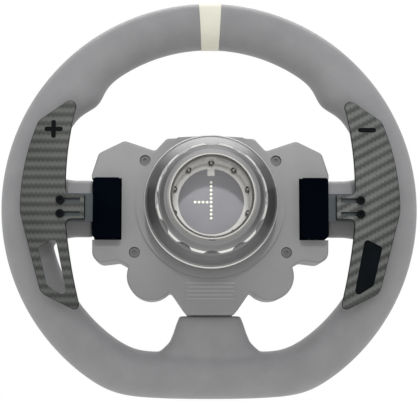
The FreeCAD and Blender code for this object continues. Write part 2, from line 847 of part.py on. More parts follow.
def make_centre_cap():
    """The bevelled round cap in the middle of the driver's face."""
    outer = FACE - S["cap_high"]
    shoulder = outer + S["cap_bevel"]
    bevelled = S["cap_r"] - S["cap_bevel"]
    profile = [(0, FACE), (0, outer), (bevelled, outer), (S["cap_r"], shoulder), (S["cap_r"], FACE)]
    return turned("centre_cap", profile)


def make_bezels():
    """A ring round each push button."""
    rings = []
    front = FACE - S["bezel_high"]
    for name, x, z in button_places():
        inner = S["button_r"] + S["control_gap"]
        ring = rod(f"BezelBody{name}", inner + S["bezel_wide"], x, z, FACE, front)
        bore = rod(f"BezelBore{name}", inner, x, z, FACE, front)
        rings.append(without(f"Bezel{name}", ring, [bore]))
    return grouped("button_bezels", rings)


def make_button(name, x, z):
    """One push button: a cap with a lip that holds it behind the faceplate, its front edge rounded."""
    near = FACE_REAR + S["control_gap"]
    front = FACE_REAR - S["button_high"]
    cap = rod(name + "Cap", S["button_r"], x, z, near, front)
    lip = rod(name + "Lip", S["button_r"] + S["button_lip"], x, z, near + S["button_lip"], near)
    whole = joined(name + "Whole", [cap, lip])
    button = doc.addObject("Part::Feature", name)
    doc.recompute()
    rim = []
    for edge in whole.Shape.Edges:
        box = edge.BoundBox
        if abs(box.YMin - front.value) < NEAR and abs(box.YMax - front.value) < NEAR:
            rim.append(edge)
    button.Shape = whole.Shape.makeFillet((S["button_r"] * S["button_edge_share"]).value, rim)
    return button


def make_switches():
    """A round switch behind each push button, just clear of it when it is pressed."""
    room = FACE_REAR + S["control_gap"] + S["button_lip"] + S["button_travel"] + S["slide_gap"]
    half = S["button_r"] / 2
    rods = [rod(f"Switch{name}", half, x, z, BOARD_FRONT, room) for name, x, z in button_places()]
    return grouped("button_switches", rods)


def make_encoder(key, x, z):
    """A rotary encoder with the bush that its knob's shaft runs in."""
    bush_front = FACE - S["bezel_high"]
    back = FACE_REAR + S["bezel_high"]
    can = rod(f"EncoderCan{key}", S["bush_r"] * 1.4, x, z, BOARD_FRONT, back)
    bush = rod(f"EncoderBush{key}", S["bush_r"] - S["slide_gap"], x, z, BOARD_FRONT, bush_front)
    behind = BOARD_FRONT - S["bezel_high"]
    bore = rod(f"EncoderBore{key}", S["shaft_r"] + S["slide_gap"], x, z, behind, bush_front)
    return without(f"Encoder{key}", joined(f"EncoderBody{key}", [can, bush]), [bore])


def make_knob(name, x, z):
    """A knob with fine flutes, a pointer groove and its shaft."""
    near = FACE - S["bezel_high"] - S["control_gap"]
    far = near - S["knob_high"]
    radius = S["knob_r"]
    cap = rod(name + "Cap", radius, x, z, near, far)
    shaft = rod(name + "Shaft", S["shaft_r"], x, z, FACE_REAR + S["bezel_high"], near)
    cuts = []
    for number in range(KNOB_FLUTES):
        side, up = turn_at(360.0 / KNOB_FLUTES * number)
        place = (x + radius * side, z + radius * up)
        cuts.append(rod(f"{name}Flute{number}", S["knob_flute_r"], *place, near - S["knob_skirt"], far))
    half = S["pointer_half_wide"]
    pointer_z = (z + radius * 0.35, z + radius * 0.85)
    cuts.append(block(name + "Pointer", (x - half, x + half), (far, far + half), pointer_z))
    return without(name, joined(name + "Body", [cap, shaft]), cuts)


def make_dome(key, x, pivot, z):
    """The hollow front half of a ball, which closes the faceplate's hole however the stick leans."""
    outer = ball(f"DomeOuter{key}", S["dome_r"], x, pivot, z)
    inner = ball(f"DomeInner{key}", S["dome_r"] * DOME_INNER, x, pivot, z)
    reach = S["dome_r"] * 2
    depth = (pivot - S["bezel_high"], pivot + reach)
    behind = block(f"DomeCut{key}", (x - reach, x + reach), depth, (z - reach, z + reach))
    return without(f"Dome{key}", outer, [inner, behind])


def make_gimbal(key, x, pivot, z):
    """The ring that a thumb stick leans in."""
    span = (pivot + S["bezel_high"], pivot - S["bezel_high"])
    body = rod(f"GimbalBody{key}", S["dome_r"] * GIMBAL_OUTER, x, z, *span)
    bore = rod(f"GimbalBore{key}", S["dome_r"] * GIMBAL_INNER, x, z, *span)
    return without(f"stick_gimbal_{key}", body, [bore])


def make_stick(key, x, z):
    """A thumb stick's gimbal ring, and the dome, stem and dished cap that lean in it."""
    pivot = (FACE + FACE_REAR) / 2
    near = pivot - S["stick_long"]
    far = near - S["thumb_cap_high"]
    stem = rod(f"Stem{key}", S["stick_r"], x, z, pivot, near)
    cap = rod(f"ThumbCap{key}", S["thumb_cap_r"], x, z, near, far)
    dish_r = S["thumb_cap_r"] * 2
    dish = ball(f"ThumbDish{key}", dish_r, x, far + S["thumb_cap_high"] * DISH_SHARE - dish_r, z)
    body = joined(f"StickBody{key}", [make_dome(key, x, pivot, z), stem, cap])
    return [make_gimbal(key, x, pivot, z), without(f"thumb_stick_{key}", body, [dish])]


def make_controls():
    """Switches, encoders and stick cans on the board, and the knobs and thumb sticks."""
    encoders = []
    cans = []
    moving = []
    for key, side in SIDES.items():
        knob_place = (S["knob_x"] * side, S["knob_z"])
        encoders.append(make_encoder(key, *knob_place))
        moving.append(make_knob(f"knob_{key}", *knob_place))
        stick_place = (S["stick_x"] * side, S["stick_z"])
        can_front = BOARD_FRONT - S["bezel_high"] * 1.5
        cans.append(rod(f"StickCan{key}", S["dome_r"] * CAN_SHARE, *stick_place, BOARD_FRONT, can_front))
        moving += make_stick(key, *stick_place)
    return [make_switches(), grouped("encoders", encoders), grouped("stick_cans", cans)] + moving


def ball(name, radius, x, y, z):
    made = doc.addObject("Part::Sphere", name)
    bind(made, "Radius", radius)
    return put(made, x, y, z)


def make_qr_hub():
    """The fixed socket: a flanged tube with a straight bore, a ball zone and a floor."""
    zone = S["socket_r"] + S["zone_step"]
    zone_front = -S["socket_long"] - S["ball_zone_long"]
    groove_r = TUBE_R - S["ring_thick"] * RING_SEAT
    groove_front = S["collar_rear"] + S["slide_gap"]
    groove_rear = groove_front + S["ring_thick"] + S["slide_gap"] * 2
    contact_bore = CONTACT_R + S["slide_gap"]
    profile = [
        (S["wire_hole_r"], ARMATURE_REAR),
        (HUB_FLANGE_R, ARMATURE_REAR),
        (HUB_FLANGE_R, HUB_FLANGE_REAR),
        (TUBE_R, HUB_FLANGE_REAR),
        (TUBE_R, groove_front),
        (groove_r, groove_front),
        (groove_r, groove_rear),
        (TUBE_R, groove_rear),
        (TUBE_R, S["mouth_long"] - S["zone_step"]),
        (TUBE_R - S["zone_step"], S["mouth_long"]),
        (S["socket_r"] + S["mouth_wide"], S["mouth_long"]),
        (S["socket_r"], 0),
        (S["socket_r"], -S["socket_long"]),
        (zone, -S["socket_long"] - S["zone_step"]),
        (zone, zone_front),
        (contact_bore, zone_front),
        (contact_bore, S["socket_floor"]),
        (S["wire_hole_r"], S["socket_floor"]),
    ]
    body = turned("HubTurned", profile)
    clear = S["hub_screw_r"] + S["screw_gap"]
    cuts = screw_circle("HubScrewHole", clear, HUB_FLANGE_REAR, ARMATURE_REAR)
    cuts += [ball_tunnel(f"BallTunnel{number}", number) for number in range(BALLS)]
    return without("qr_hub", body, cuts)


def ball_tunnel(name, number):
    """A radial hole through the socket's tube for one locking ball."""
    side, up = turn_at(360.0 / BALLS * number)
    made = doc.addObject("Part::Cylinder", name)
    made.Placement = Placement(Vector(), Rotation(Vector(0, 0, 1), Vector(side, 0, up)))
    bind(made, "Radius", S["ball_r"] + S["slide_gap"])
    bind(made, "Height", TUBE_R)
    inner = TUBE_R / 2
    return put(made, inner * side, BALL_STATION, inner * up)


def make_qr_collar():
    """The sliding collar: a flared grip with flutes, bored to run on the tube."""
    bore = TUBE_R + S["slide_gap"]
    end_r = TUBE_R + S["collar_end_wide"]
    ridge_y = S["collar_ridge_y"]
    flange_y = S["collar_flange_y"]
    room = S["collar_front"] + S["spring_room_long"]
    profile = [
        (bore, S["collar_rear"]),
        (end_r, S["collar_rear"]),
        (end_r + S["bright_bevel"], S["collar_rear"] - S["chamfer"]),
        (COLLAR_RIDGE_R - S["waist_step"], S["waist_y"]),
        (COLLAR_RIDGE_R, ridge_y + S["ridge_long"]),
        (COLLAR_RIDGE_R, ridge_y),
        (COLLAR_RIDGE_R - S["chamfer"], ridge_y - S["chamfer"]),
        (COLLAR_RIDGE_R + S["chamfer"] / 2, ridge_y - S["ridge_long"]),
        (COLLAR_FLANGE_R - S["chamfer"] * 1.5, flange_y + S["chamfer"]),
        (COLLAR_FLANGE_R, flange_y - S["collar_foot"]),
        (COLLAR_FLANGE_R, S["collar_front"] + S["collar_foot"]),
        (COLLAR_FLANGE_R - S["collar_foot"], S["collar_front"]),
        (SPRING_ROOM_R, S["collar_front"]),
        (SPRING_ROOM_R, room),
        (bore, room),
    ]
    body = turned("CollarTurned", profile)
    cuts = []
    out = COLLAR_RIDGE_R + S["flute_r"] - S["flute_deep"]
    for number in range(FLUTES):
        side, up = turn_at(360.0 / FLUTES * number)
        span = (S["collar_rear"], ridge_y - S["ridge_long"])
        cuts.append(rod(f"CollarFlute{number}", S["flute_r"], out * side, out * up, *span))
    return without("qr_collar", body, cuts)


def make_spring():
    """The collar's return spring, as closed coils packed at the floor of its room."""
    wire = (SPRING_ROOM_R - TUBE_R) / 2 - S["zone_step"]
    lowest = S["collar_front"] - S["collar_travel"] + S["spring_room_long"]
    coils = []
    for number in range(SPRING_COILS):
        coil = doc.addObject("Part::Torus", f"Coil{number}")
        coil.Placement = Placement(Vector(), Rotation(Vector(1, 0, 0), -90))
        bind(coil, "Radius1", (TUBE_R + SPRING_ROOM_R) / 2)
        bind(coil, "Radius2", wire)
        coils.append(put(coil, 0, lowest - wire * (2 * number + 1) - S["screw_gap"], 0))
    return grouped("qr_spring", coils)


def make_balls():
    """The locking balls in their tunnels."""
    balls = []
    seat = TUBE_R - S["ball_r"] - S["slide_gap"]
    for number in range(BALLS):
        side, up = turn_at(360.0 / BALLS * number)
        balls.append(ball(f"Ball{number}", S["ball_r"], seat * side, BALL_STATION, seat * up))
    return grouped("qr_balls", balls)


def make_snap_ring():
    """The split ring in the tube's groove that keeps the collar on."""
    outer = TUBE_R + S["ring_wide"]
    inner = TUBE_R - S["ring_thick"] * RING_SEAT + S["slide_gap"]
    front = S["collar_rear"] + S["slide_gap"] * 2
    rear = front + S["ring_thick"]
    ring = rod("SnapBody", outer, 0, 0, rear, front)
    gap = block("SnapGap", (-S["ring_gap_half"], S["ring_gap_half"]), (front, rear), (-outer, 0))
    bore = rod("SnapBore", inner, 0, 0, rear, front)
    return without("qr_snap_ring", ring, [bore, gap])


def make_contacts():
    """The keyed contact plate on the socket's floor, and its pins in a line with a short branch."""
    floor = S["socket_floor"]
    top = floor + S["contact_thick"]
    disc = rod("ContactDisc", CONTACT_R, 0, 0, top, floor)
    key_x = (-S["key_half_wide"], S["key_half_wide"])
    key = block("ContactKey", key_x, (floor, top), (CONTACT_R - S["key_deep"], CONTACT_R))
    pitch = S["pin_pitch"]
    places = [(as_size(0), S["pin_top_z"] - pitch * number) for number in range(PIN_LINE)]
    branch_z = S["pin_top_z"] - pitch * BRANCH_ROW
    places += [(pitch * number, branch_z) for number in range(1, PIN_BRANCH + 1)]
    pins = [
        rod(f"Pin{number}", S["pin_r"], x, z, top + S["pin_high"], top)
        for number, (x, z) in enumerate(places)
    ]
    return [without("qr_contact_plate", disc, [key]), grouped("qr_contact_pins", pins)]


def make_hub_screws():
    """The cap screws that hold the hub's flange to the armature."""
    head_top = HUB_FLANGE_REAR + S["hub_screw_r"]
    heads = screw_circle("HubHead", S["hub_screw_r"] * CAP_HEAD, head_top, HUB_FLANGE_REAR)
    shanks = screw_circle("HubShank", S["hub_screw_r"] - S["slide_gap"], HUB_FLANGE_REAR, ARMATURE_FRONT)
    drives = screw_circle("HubDrive", S["hub_screw_r"], head_top, HUB_FLANGE_REAR + S["drive_floor"])
    screws = []
    for number, (head, shank, drive) in enumerate(zip(heads, shanks, drives)):
        cut_head = without(f"HubHeadCut{number}", head, [drive])
        screws.append(joined(f"HubScrew{number}", [cut_head, shank]))
    return grouped("qr_hub_screws", screws)


def lever_band():
    """The lever's lower and upper edges along Z."""
    middle = (S["blade_z_5"] + S["blade_z_7"]) / 2
    return middle - S["lever_wide"] / 2, middle + S["lever_wide"] / 2


def lever_middle():
    low, high = lever_band()
    return (low + high) / 2


def block_outline(side):
    """A shifter block's rounded rectangle."""
    foot, head = block_span(0)
    near, far = S["block_in_x"] * side, S["block_out_x"] * side
    return flat_corners([(near, head), (far, head), (far, foot), (near, foot)], S["block_wall"])


def make_shifter_housing(key, side):
    """The closed block that holds the lever's pivot, its magnet and its switch."""
    wall = S["block_wall"]
    room = S["block_gap"]
    low, high = lever_band()
    body = plate(f"BlockBody{key}", block_outline(side), S["block_rear"], ARMATURE_REAR)
    inside = sided(S["block_in_x"] + wall / 2, S["block_out_x"] - wall, side)
    depth = (ARMATURE_REAR + wall, S["block_rear"] - wall)
    cavity = block(f"BlockCavity{key}", inside, depth, block_span(-wall))
    mouth = block(
        f"BlockMouth{key}",
        sided(S["block_out_x"] - wall, S["block_out_x"], side),
        (LEVER_FRONT - S["lever_swing_room"], LEVER_REAR + room),
        (low - room, high + room),
    )
    pivot = (S["pivot_x"] * side, S["pivot_y"])
    hole = upright_rod(f"BlockPinHole{key}", S["pivot_r"], *pivot, *block_span(0))
    return without(f"shifter_housing_{key}", body, [cavity, mouth, hole])


def magnet_rod(name, side, rear):
    """A round magnet on the lever's middle line."""
    x = S["magnet_x"] * side
    return rod(name, S["magnet_r"], x, lever_middle(), rear, rear - S["magnet_thick"])


def make_lever(key, side):
    """The paddle lever: a bar with a knuckle round the pin, a magnet seat and two tapped holes."""
    low, high = lever_band()
    pivot = (S["pivot_x"] * side, S["pivot_y"])
    reach = sided(S["pivot_x"], S["lever_out_x"], side)
    bar = block(f"LeverBar{key}", reach, (LEVER_FRONT, LEVER_REAR), (low, high))
    knuckle = upright_rod(f"LeverKnuckle{key}", S["knuckle_r"], *pivot, low, high)
    cuts = [upright_rod(f"LeverBore{key}", S["pivot_r"] + S["slide_gap"], *pivot, low, high)]
    cuts.append(magnet_rod(f"LeverSeat{key}", side, LEVER_REAR))
    for level in ("upper", "lower"):
        place = (S["blade_screw_x"] * side, S[f"slot_{level}_z"])
        cuts.append(rod(f"LeverTap{key}{level}", S["slot_wide"] / 2, *place, LEVER_REAR, LEVER_FRONT))
    lever = without(f"shifter_lever_{key}", joined(f"LeverWhole{key}", [bar, knuckle]), cuts)
    return [lever, magnet_rod(f"lever_magnet_{key}", side, LEVER_REAR)]


def make_block_contents(key, side):
    """The pivot pin, the magnet that holds the lever back and the switch that it presses."""
    wall = S["block_wall"]
    middle = lever_middle()
    x = S["magnet_x"] * side
    pivot = (S["pivot_x"] * side, S["pivot_y"])
    pin = upright_rod(f"pivot_pin_{key}", S["pivot_r"], *pivot, *block_span(0))
    magnet = magnet_rod(f"shifter_magnet_{key}", side, S["block_rear"] - wall)
    switch_rear = LEVER_FRONT - S["lever_swing_room"] * 1.5
    reach = sided(S["magnet_x"] - S["switch_half_wide"], S["magnet_x"] + S["switch_half_wide"], side)
    height = (middle - S["switch_half_high"], middle + S["switch_half_high"])
    body = block(f"SwitchBody{key}", reach, (ARMATURE_REAR + wall, switch_rear), height)
    nub_rear = LEVER_FRONT - S["lever_swing_room"] * NUB_SHARE
    nub = rod(f"SwitchNub{key}", S["pivot_r"], x, middle, nub_rear, switch_rear)
    return [pin, magnet, joined(f"shifter_switch_{key}", [body, nub])]


def mark_bar(name, half_wide, half_high, place, depth):
    """One bar of a paddle's sign, with nearly round ends."""
    x, z = place
    points = [
        (x - half_wide, z + half_high),
        (x + half_wide, z + half_high),
        (x + half_wide, z - half_high),
        (x - half_wide, z - half_high),
    ]
    return plate(name, flat_corners(points, S["mark_wide"] / 2 * MARK_ROUND), *depth)


def mark_bars(name, side, rear, front):
    """The plus sign on the right paddle and the minus sign on the left one."""
    half = S["mark_long"] / 2
    thin = S["mark_wide"] / 2
    place = (S["mark_x"] * side, S["mark_z"])
    bars = [mark_bar(name + "Flat", half, thin, place, (rear, front))]
    if side > 0:
        bars.append(mark_bar(name + "Tall", thin, half, place, (rear, front)))
    return bars


def blade_screws(key, side, rear):
    """The two screws that hold the blade to the lever, each in its slot."""
    screws = []
    top = rear + S["blade_screw_head_high"]
    half = S["slot_wide"] / 2
    for level in ("upper", "lower"):
        place = (S["blade_screw_x"] * side, S[f"slot_{level}_z"])
        head = rod(f"BladeHead{key}{level}", S["blade_screw_head_r"], *place, top, rear)
        shank = rod(f"BladeShank{key}{level}", half - S["slide_gap"], *place, rear, LEVER_FRONT)
        drive = rod(f"BladeDrive{key}{level}", half * DRIVE_SHARE, *place, top, rear + S["drive_floor"])
        whole = joined(f"BladeScrewBody{key}{level}", [head, shank])
        screws.append(without(f"BladeScrew{key}{level}", whole, [drive]))
    return grouped(f"paddle_screws_{key}", screws)


def make_paddle(key, side):
    """The carbon blade with its window, adjusting slots and inlaid sign, and the screws."""
    rear = LEVER_REAR + S["blade_thick"]
    blank = plate(f"BladeBlank{key}", corners_of("blade", side), rear, LEVER_REAR)
    soften_face(blank, rear, S["blade_edge_round"])
    cuts = [plate(f"BladeWindow{key}", corners_of("window", side), rear, LEVER_REAR)]
    half = S["slot_wide"] / 2
    for level in ("upper", "lower"):
        z = S[f"slot_{level}_z"]
        x_pair = sided(S["slot_in_x"], S["slot_out_x"], side)
        cuts.append(block(f"BladeSlot{key}{level}", x_pair, (LEVER_REAR, rear), (z - half, z + half)))
    inlay_front = rear - S["mark_deep"]
    cuts += mark_bars(f"MarkSeat{key}", side, rear, inlay_front)
    signs = mark_bars(f"MarkInlay{key}", side, rear, inlay_front)
    sign = joined("plus_sign", signs) if side > 0 else grouped("minus_sign", signs)
    made = [without(f"paddle_{key}", blank, cuts), blade_screws(key, side, rear), sign]
    if side < 0:
        made.append(plate("window_infill", corners_of("window", side), inlay_front, LEVER_REAR))
    return made


def write_parts(parts):
    """Checks every object of the document, then writes each sub-part to its own file."""
    doc.recompute()
    for thing in doc.Objects:
        if "Invalid" in thing.State or "Error" in thing.State:
            raise RuntimeError(f"{thing.Name} is {thing.State}")
    for part in parts:
        if part.Shape.isNull() or not part.Shape.isValid() or not part.Shape.Solids:
            raise RuntimeError(f"{part.Name} has no valid solid")
    os.makedirs("parts", exist_ok=True)
    for part in parts:
        part.Label = part.Name
        part.Shape.exportStep(f"parts/{part.Label}.step")


def main():
    armature = make_armature()
    parts = [armature] + make_grip(armature)
    parts += [make_rear_cover(), make_serial_bars(), make_front_housing(), make_faceplate()]
    parts += [rear_screws(), face_screws()] + make_light_bar()
    parts += [make_control_board(), make_centre_cap(), make_bezels()] + make_controls()
    parts += [make_button(name, x, z) for name, x, z in button_places()]
    parts += [make_qr_hub(), make_qr_collar(), make_spring(), make_balls(), make_snap_ring()]
    parts += make_contacts() + [make_hub_screws()]
    for key, side in SIDES.items():
        parts.append(make_shifter_housing(key, side))
        parts += make_lever(key, side) + make_block_contents(key, side) + make_paddle(key, side)
    write_parts(parts)


main()
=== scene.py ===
import bpy
import math
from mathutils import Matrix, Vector


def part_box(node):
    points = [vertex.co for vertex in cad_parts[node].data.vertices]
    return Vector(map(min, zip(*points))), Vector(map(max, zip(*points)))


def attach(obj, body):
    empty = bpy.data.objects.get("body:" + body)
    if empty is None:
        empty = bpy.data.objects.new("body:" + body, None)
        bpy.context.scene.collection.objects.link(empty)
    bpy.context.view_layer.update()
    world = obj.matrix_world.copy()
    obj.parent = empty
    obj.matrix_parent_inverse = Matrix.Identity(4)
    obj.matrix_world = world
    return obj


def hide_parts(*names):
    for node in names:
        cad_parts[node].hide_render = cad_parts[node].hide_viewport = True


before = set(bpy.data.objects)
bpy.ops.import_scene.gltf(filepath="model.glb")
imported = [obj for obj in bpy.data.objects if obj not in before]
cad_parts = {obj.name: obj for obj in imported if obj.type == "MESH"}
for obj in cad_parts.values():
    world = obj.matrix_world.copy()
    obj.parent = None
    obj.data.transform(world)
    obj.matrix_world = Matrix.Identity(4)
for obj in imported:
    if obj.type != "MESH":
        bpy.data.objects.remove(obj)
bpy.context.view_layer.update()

MM = 0.001
BACK = Vector((0, 1, 0))  # away from the driver, along the quick release
SIDES = {"right": 1, "left": -1}
FLOOR_DROP = 0.45  # metres from the wheel's foot down to the studio floor

RIM_LOW, RIM_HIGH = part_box("rim_wrap")
MARK_LOW, MARK_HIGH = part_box("centre_mark")
RIM_MID = (RIM_LOW[1] + RIM_HIGH[1]) / 2
GRIP_HALF_DEEP = (RIM_HIGH[1] - RIM_LOW[1]) / 2
GRIP_HALF_WIDE = 16 * MM
RIM_R = MARK_HIGH[2] - GRIP_HALF_WIDE
FLAT_DROP = -RIM_LOW[2] - GRIP_HALF_WIDE
PAD_HALF_DEEP = 10 * MM
SPOKE_HALF_HIGH = 19.1 * MM
SPOKE_DOWN = 1.4 * MM
FOOT_HALF_WIDE = 18.5 * MM
PAD_GAP = 0.3 * MM  # between a pad's end and the housing
THUMB_SWELL = 5 * MM
# Angles round the rim are degrees clockwise from the top. Those round the grip start at its outer edge.
THUMB_ANGLE = 47.5
THUMB_SPREAD = 6.0
CORNER_SOFTNESS = 40
MARK_HALF_ANGLE = 3.15
MARK_PROUD = 0.3 * MM
SEAM_AROUND = -142
SEAM_SPANS = [(-74, -5), (5, 74), (106, 152), (-152, -106)]
STITCH_PITCH = 3.6 * MM
STITCH_LONG = 3.4 * MM
STITCH_PROUD = 0.2 * MM
STITCH_LEAN = 0.55
THREAD_R = 0.32 * MM
THREAD_BEVEL = 0.15 * MM
GRIP_VOXEL = 1.25 * MM
PAD_POINTS = 56
PAD_SQUARENESS = 0.72
# The collar's painted highlights: pale bands painted where the light catches it, each as its span of radius
# and of Y in millimetres: ridge and flange rim.
COLLAR_PAINTED_HIGHLIGHTS = [((34.2, 36.3), (-14.8, -8.3)), ((42.6, 44.0), (-35.0, -27.2))]


# ---------------------------------------------------------------- camera, light and floor


def add_camera():
    """A long lens behind the wheel, a little below its axis."""
    azimuth, elevation = math.radians(178.6), math.radians(-6.5)
    distance, seen_width = 900 * MM, 282.7 * MM
    aim = Vector((0.2 * MM, RIM_MID, 4.6 * MM))
    level = math.cos(elevation)
    back = Vector((math.sin(azimuth) * level, -math.cos(azimuth) * level, math.sin(elevation)))
    bpy.ops.object.camera_add(location=aim + back * distance)
    camera = bpy.context.object
    camera.data.sensor_width = 36.0
    camera.data.lens = camera.data.sensor_width * distance / seen_width
    camera.data.clip_end = 50
    camera.rotation_euler = (-back).to_track_quat("-Z", "Y").to_euler()
    bpy.context.scene.camera = camera


def add_softbox(name, place, aim, size, power):
    """A rectangular studio light pointing at a place."""
    bpy.ops.object.light_add(type="AREA", location=place)
    light = bpy.context.object
    light.name = name
    light.data.shape = "RECTANGLE"
    light.data.size, light.data.size_y = size
    light.data.energy = power
    light.rotation_euler = (Vector(aim) - Vector(place)).to_track_quat("-Z", "Y").to_euler()


def add_snoot(name, place, aim, angle, power):
    """A narrow soft-edged light that lifts one corner of the housing."""
    bpy.ops.object.light_add(type="SPOT", location=place)
    light = bpy.context.object
    light.name = name
    light.data.spot_size = math.radians(angle)
    light.data.spot_blend = 1.0
    light.data.shadow_soft_size = 60 * MM
    light.data.energy = power
    light.rotation_euler = (Vector(aim) - Vector(place)).to_track_quat("-Z", "Y").to_euler()


def add_studio():
    """A pale floor under an even white surround, with a strip light overhead."""
    scene = bpy.context.scene
    scene.view_settings.view_transform = "Standard"
    scene.world = bpy.data.worlds.new("white_surround")
    scene.world.use_nodes = True
    surround = scene.world.node_tree.nodes["Background"]
    surround.inputs["Color"].default_value = (1, 1, 1, 1)
    surround.inputs["Strength"].default_value = 1.0
    add_softbox("overhead_panel", (0, -0.62, 0.85), (0, -0.02, 0.03), (1.1, 0.32), 5.0)
    add_softbox("overhead_strip", (0, 0.22, 0.62), (0, -0.02, 0.03), (0.9, 0.05), 0.7)
    for side, sign in SIDES.items():
        add_snoot(f"housing_snoot_{side}", (0.06 * sign, 0.9, 0.5), (0.056 * sign, -0.045, 0.022), 6, 46)
    bpy.ops.mesh.primitive_plane_add(size=12, location=(0, 0, RIM_LOW[2] - FLOOR_DROP))
    floor = bpy.context.object
    floor.name = "studio_floor"
    floor.data.materials.append(plain_paint("matt_floor_paint", "#f6f6f4"))


# ---------------------------------------------------------------- materials


def colour(code):
    """An sRGB hex colour as the linear colour that a shader takes."""
    shares = [int(code[start:start + 2], 16) / 255 for start in (1, 3, 5)]
    linear = [v / 12.92 if v <= 0.04045 else ((v + 0.055) / 1.055) ** 2.4 for v in shares]
    return (*linear, 1.0)


def add_node(material, kind, inputs=None, **settings):
    """Adds a node with its settings; each input is a value or another node's output."""
    tree = material.node_tree
    made = tree.nodes.new("ShaderNode" + kind)
    for name, value in settings.items():
        setattr(made, name, value)
    for name, value in (inputs or {}).items():
        if isinstance(value, bpy.types.NodeSocket):
            tree.links.new(value, made.inputs[name])
        else:
            made.inputs[name].default_value = value
    return made


def new_surface(name, base, roughness, metallic=0.0, **sockets):
    """A material with constant values set on its shader, and the shader itself."""
    material = bpy.data.materials.new(name)
    material.use_nodes = True
    shader = material.node_tree.nodes["Principled BSDF"]
    shader.inputs["Base Color"].default_value = colour(base)
    shader.inputs["Roughness"].default_value = roughness
    shader.inputs["Metallic"].default_value = metallic
    for socket, value in sockets.items():
        shader.inputs[socket.replace("_", " ")].default_value = value
    return material, shader


def join(material, output, shader, socket):
    material.node_tree.links.new(output, shader.inputs[socket])


def object_place(material):
    return add_node(material, "TexCoord").outputs["Object"]


def two_tone(material, factor, low, high, low_at=0.3, high_at=0.7):
    """A ramp between two colours."""
    ramp = add_node(material, "ValToRGB", {"Fac": factor})
    ramp.color_ramp.elements[0].position = low_at
    ramp.color_ramp.elements[1].position = high_at
    ramp.color_ramp.elements[0].color = colour(low)
    ramp.color_ramp.elements[1].color = colour(high)
    return ramp.outputs["Color"]


def noise(material, place, pitch_mm, detail=2.0, roughness=0.5):
    """Noise whose blotches are about this far apart."""
    inputs = {"Vector": place, "Scale": 1 / (pitch_mm * MM), "Detail": detail, "Roughness": roughness}
    return add_node(material, "TexNoise", inputs).outputs["Fac"]


def math_node(material, operation, first, second=0.0):
    return add_node(material, "Math", {0: first, 1: second}, operation=operation).outputs[0]


def bump(material, shader, height, deep_mm, strength=1.0):
    """Raises the surface by a height from 0 to 1 times a depth."""
    inputs = {"Height": height, "Strength": strength, "Distance": deep_mm * MM}
    join(material, add_node(material, "Bump", inputs).outputs["Normal"], shader, "Normal")


def plain_paint(name, base):
    """Emulsion on a board: even, matt, with a roller's faint orange peel."""
    material, shader = new_surface(name, base, 0.85)
    bump(material, shader, noise(material, object_place(material), 12), 0.2, 0.2)
    return material


def microfibre_leather(name, low, high):
    """Stretched microfibre leather: even, matt and pebbled, with a soft sheen at grazing angles."""
    material, shader = new_surface(name, low, 0.56, Sheen_Weight=0.12, Sheen_Roughness=0.5)
    place = object_place(material)
    join(material, two_tone(material, noise(material, place, 14, 3), low, high), shader, "Base Color")
    # The real grain is about 0.7 mm across; it is drawn at 1.3 mm so that it shows.
    inputs = {"Vector": place, "Scale": 1 / (1.3 * MM)}
    cells = add_node(material, "TexVoronoi", inputs, feature="SMOOTH_F1")
    bump(material, shader, cells.outputs["Distance"], 0.12, 0.5)
    return material


def moulded_abs(name, low, high, roughness=0.5, **sockets):
    """Injection-moulded ABS from a spark-eroded tool: matt, with a fine even tooth."""
    material, shader = new_surface(name, low, roughness, **sockets)
    place = object_place(material)
    join(material, two_tone(material, noise(material, place, 25, 2), low, high), shader, "Base Color")
    # The tooth is about 0.15 mm; it is drawn at 0.8 mm so that it shows.
    bump(material, shader, noise(material, place, 0.8, 3, 0.6), 0.05, 0.6)
    return material


def twill_carbon(name, tow_mm, turn, dark, light, edge, roughness=0.4):
    """Carbon twill under satin lacquer: broad tows in stepped diagonal ribs, and near-black edges: the bare
    fibre's own darkness with painted edge shade on top.
    """
    material, shader = new_surface(name, dark, roughness, Specular_IOR_Level=0.3)
    turning = {"Vector": object_place(material), "Rotation": (0, math.radians(turn), 0)}
    turned = add_node(material, "Mapping", turning).outputs["Vector"]
    parts = add_node(material, "SeparateXYZ", {"Vector": turned}).outputs
    across = math_node(material, "DIVIDE", parts["X"], tow_mm * MM)
    along = math_node(material, "DIVIDE", parts["Z"], tow_mm * MM)
    # Each row of the weave steps one tow sideways, over two and under two.
    column, row = math_node(material, "FLOOR", across), math_node(material, "FLOOR", along)
    tows = math_node(material, "ADD", column, row)
    on_top = math_node(material, "LESS_THAN", math_node(material, "FLOORED_MODULO", tows, 4.0), 1.5)
    rib_turn = math_node(material, "MULTIPLY", math_node(material, "ADD", across, along), math.pi / 2)
    half_wave = math_node(material, "MULTIPLY", math_node(material, "SINE", rib_turn), 0.5)
    rib = math_node(material, "ADD", half_wave, 0.5)
    stretched = add_node(material, "Mapping", {"Vector": turned, "Scale": (1, 1, 0.12)}).outputs["Vector"]
    thread = noise(material, stretched, 0.7)
    cloud = noise(material, turned, 22, 2)
    total = 0.0  # each pattern's share of the weave
    for share, factor in ((0.22, on_top), (0.3, rib), (0.18, thread), (0.3, cloud)):
        total = math_node(material, "ADD", math_node(material, "MULTIPLY", factor, share), total)
    weave = two_tone(material, total, dark, light, 0.2, 0.8)
    # Faces not facing along Y, the edges, take the near-black edge colour: bare fibre darkness with painted
    # shade.
    normal = add_node(material, "TexCoord").outputs["Normal"]
    facing = add_node(material, "SeparateXYZ", {"Vector": normal}).outputs["Y"]
    flat = math_node(material, "GREATER_THAN", math_node(material, "ABSOLUTE", facing), 0.9)
    inputs = {"Factor": flat, 6: colour(edge), 7: weave}
    join(material, add_node(material, "Mix", inputs, data_type="RGBA").outputs[2], shader, "Base Color")
    bump(material, shader, total, 0.05, 0.4)
    return material


def between(material, value, low_mm, high_mm):
    """One where a length lies between two others, and nought elsewhere."""
    above = math_node(material, "GREATER_THAN", value, low_mm * MM)
    return math_node(material, "MULTIPLY", above, math_node(material, "LESS_THAN", value, high_mm * MM))


